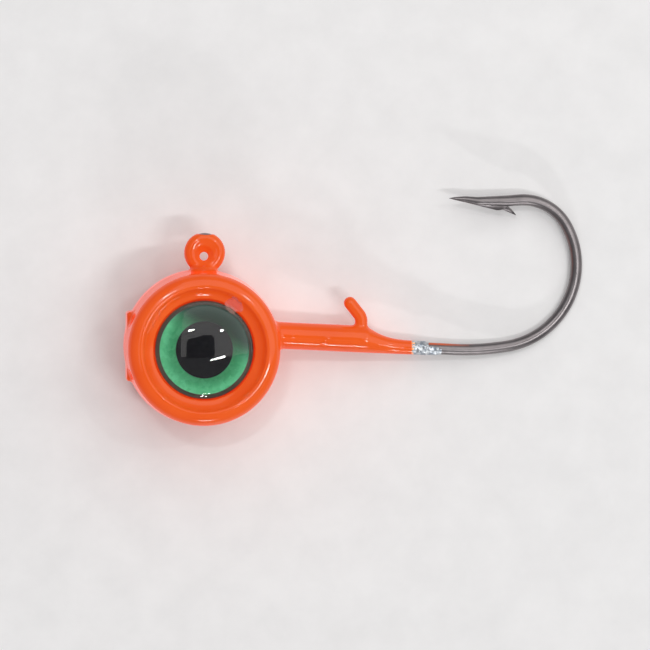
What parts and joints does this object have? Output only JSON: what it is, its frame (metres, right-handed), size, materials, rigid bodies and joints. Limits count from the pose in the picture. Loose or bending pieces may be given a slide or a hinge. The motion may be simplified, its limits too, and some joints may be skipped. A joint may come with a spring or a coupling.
{
  "type": "jig head",
  "caption": "Painted lead jig head with a domed eye in each face, bait collar with keeper finger, closed line eye and a bare round-bend hook.",
  "frame": {"origin": "centre of the line hole, in the hook's plane", "axes": "+X along the shank towards the hook bend, +Y from the head towards the line eye and the hook point, +Z square to the hook's plane, out of the left face"},
  "size_m": [0.0468, 0.0235, 0.0102],
  "materials": {
    "black_nickel_wire": "polished",
    "cast_lead": "satin",
    "orange_powder_coat": "gloss",
    "clear_eye_resin": "gloss",
    "green_iris_foil": "gloss",
    "black_pupil_ink": "gloss",
    "eye_film": "satin",
    "eye_adhesive": "matte",
    "clear_glue": "gloss"
  },
  "bodies": {
    "root": {"hook": "black_nickel_wire", "lead_head": "cast_lead", "paint_coat": "orange_powder_coat", "left_eye_lens": "clear_eye_resin", "left_eye_foil": "green_iris_foil", "left_eye_pupil": "black_pupil_ink", "left_eye_backing": "eye_film", "left_eye_adhesive": "eye_adhesive", "right_eye_lens": "clear_eye_resin", "right_eye_foil": "green_iris_foil", "right_eye_pupil": "black_pupil_ink", "right_eye_backing": "eye_film", "right_eye_adhesive": "eye_adhesive", "glue_dab": "clear_glue"}
  },
  "joints": []
}
